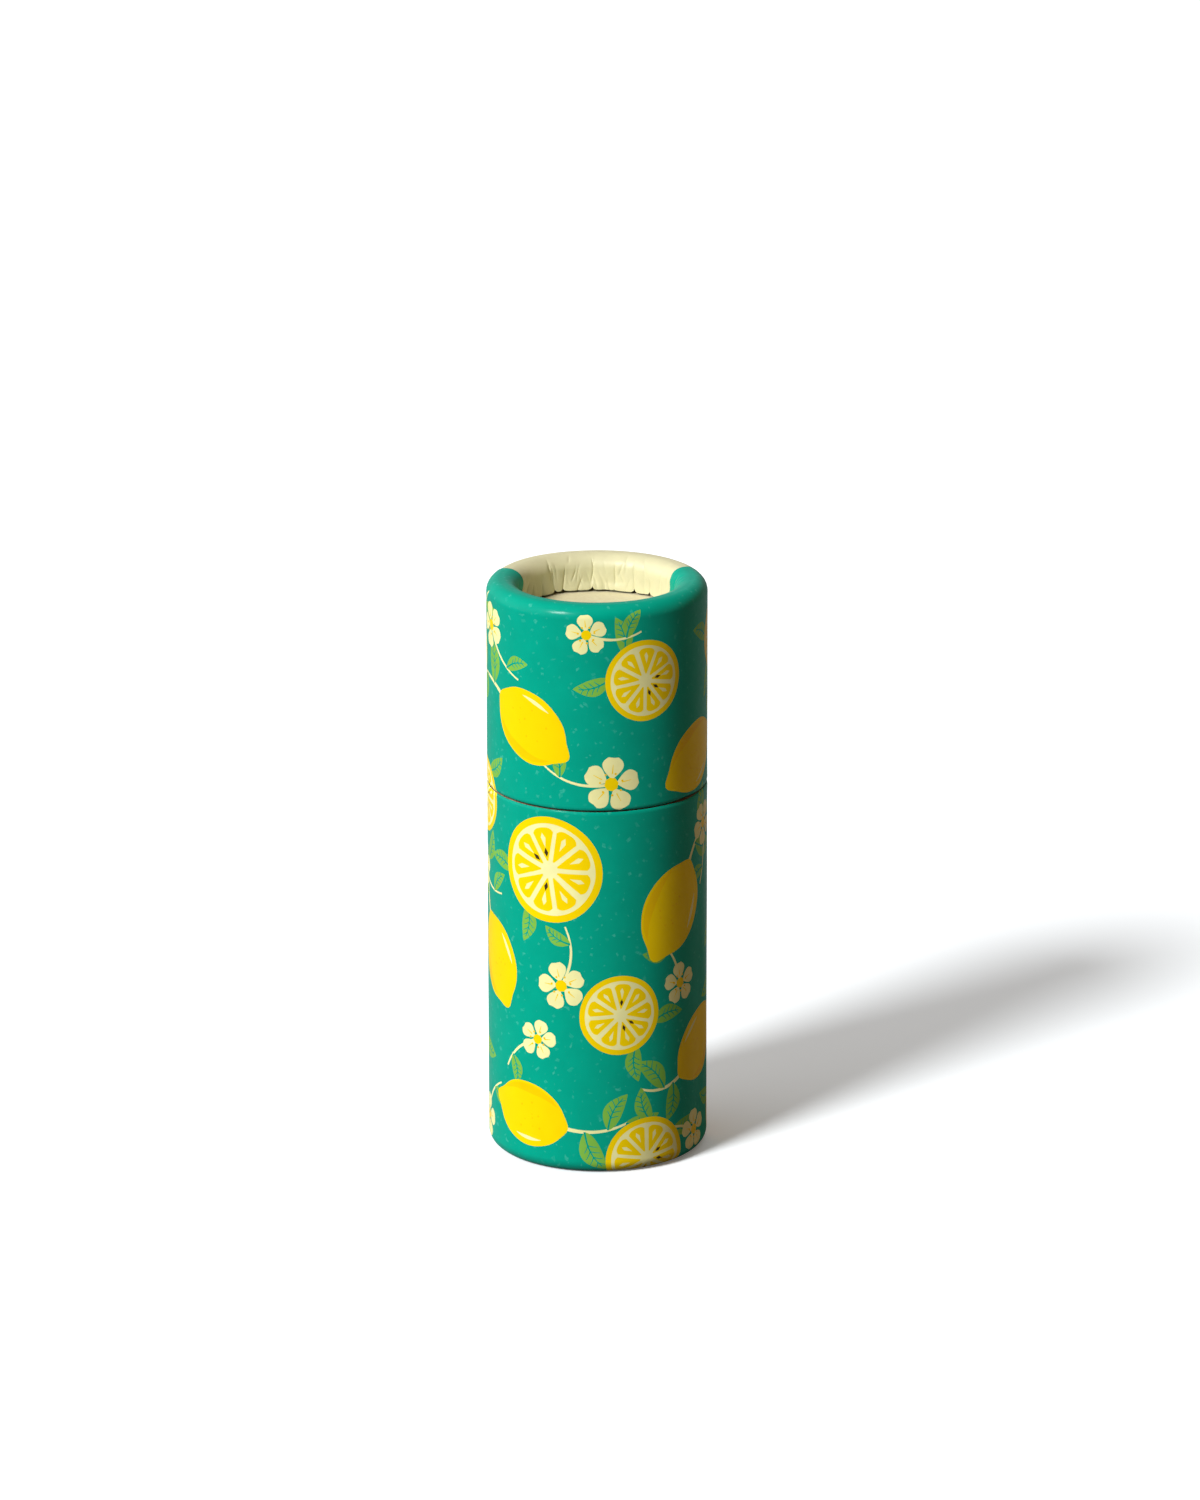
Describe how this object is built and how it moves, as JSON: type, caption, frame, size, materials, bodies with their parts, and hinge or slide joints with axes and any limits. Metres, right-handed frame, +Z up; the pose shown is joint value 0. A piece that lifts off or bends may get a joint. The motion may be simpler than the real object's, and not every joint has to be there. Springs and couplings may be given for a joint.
{
  "type": "lip balm",
  "caption": "Push-up lip balm in a round paper tube with rolled rims; the cap lifts off its neck, and a disc in the recessed foot pushes the balm up.",
  "frame": {"origin": "centre of the circle that the base stands on", "axes": "+Z up along the tube's axis, from the foot to the cap; the plain joint of the print faces +Y, away from the picture's camera"},
  "size_m": [0.025, 0.025, 0.067],
  "materials": {
    "printed_paper": "satin",
    "cream_board": "matte",
    "wound_board": "matte",
    "neck_board": "matte",
    "waxed_paper": "satin",
    "balm": "satin"
  },
  "bodies": {
    "base": {"base_tube": "wound_board", "base_wrap": "printed_paper", "neck_tube": "neck_board", "neck_lining": "waxed_paper"},
    "stick": {"pusher_disc": "cream_board", "pusher_ring": "neck_board", "pusher_lining": "waxed_paper", "balm": "balm"},
    "cap": {"cap_tube": "wound_board", "cap_wrap": "printed_paper", "cap_disc": "cream_board"}
  },
  "joints": [
    {"name": "push_up", "type": "slide", "parent": "base", "child": "stick", "axis": [0, 0, 1], "range_m": [0, 0.049]},
    {"name": "cap_lift", "type": "slide", "parent": "stick", "child": "cap", "axis": [0, 0, 1], "range_m": [0, 0.03]}
  ]
}
